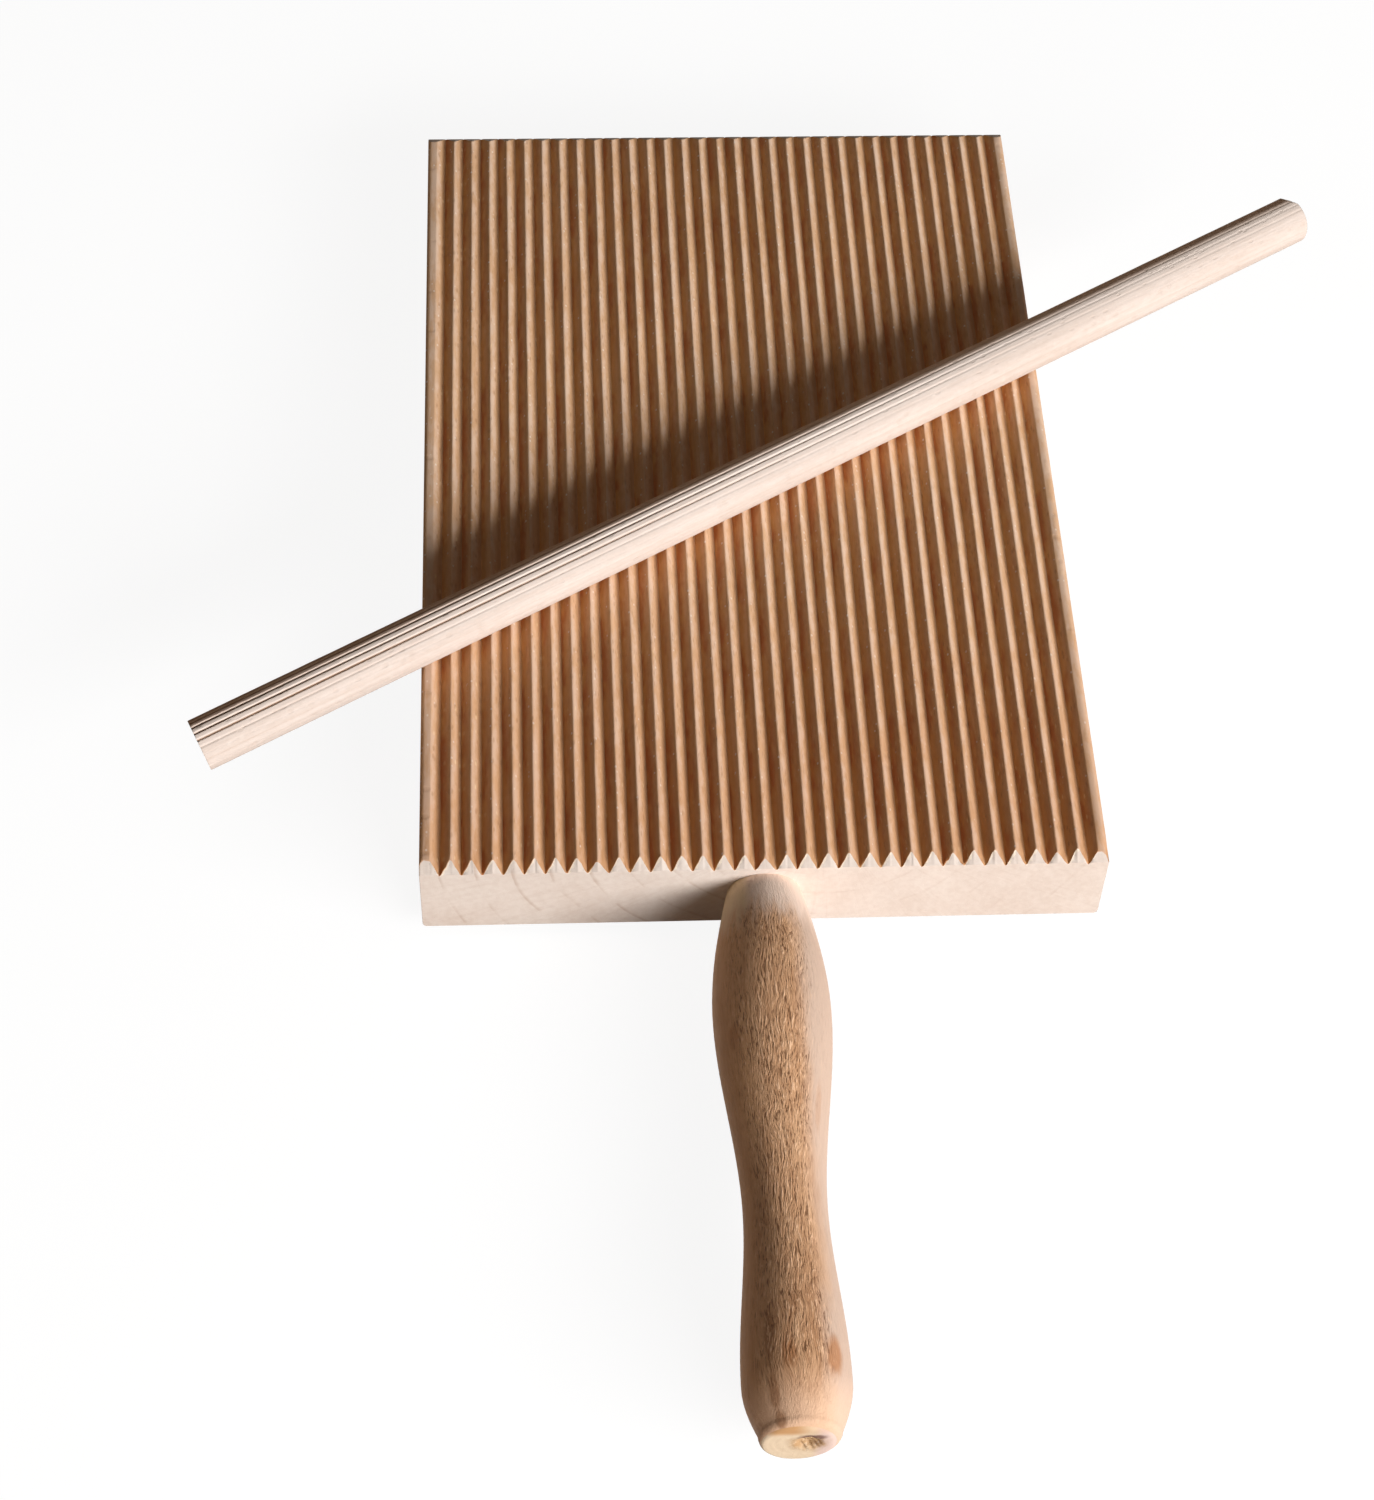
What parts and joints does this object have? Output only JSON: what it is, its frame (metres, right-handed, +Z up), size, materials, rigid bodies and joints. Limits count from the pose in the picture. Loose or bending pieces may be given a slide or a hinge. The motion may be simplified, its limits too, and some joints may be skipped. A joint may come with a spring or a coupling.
{
  "type": "grooved pasta board with rolling rod",
  "caption": "Rectangular beech board with parallel shallow V-grooves along its length, bevelled ends, a turned handle on one end and a loose fluted rod laid across it, for shaping ridged pasta.",
  "frame": {"origin": "middle of the plank's flat underside", "axes": "+Y along the grooves, away from the handle; +X across the grooves, to the right seen from the handle; +Z up out of the ridges"},
  "size_m": [0.2184, 0.2889, 0.0294],
  "materials": {
    "board_beech": "bare planed and milled beech, matt, with open pores",
    "handle_beech": "turned and sanded beech with a thin old wax, satin",
    "rod_beech": "bare pale beech, matt"
  },
  "bodies": {
    "board": {"grooved_board": "board_beech", "handle": "handle_beech"},
    "rod": {"rolling_rod": "rod_beech"}
  },
  "joints": [
    {"name": "rod_lift", "type": "slide", "parent": "board", "child": "rod", "axis": [0, 0, 1], "range_m": [0, 0.08]}
  ]
}
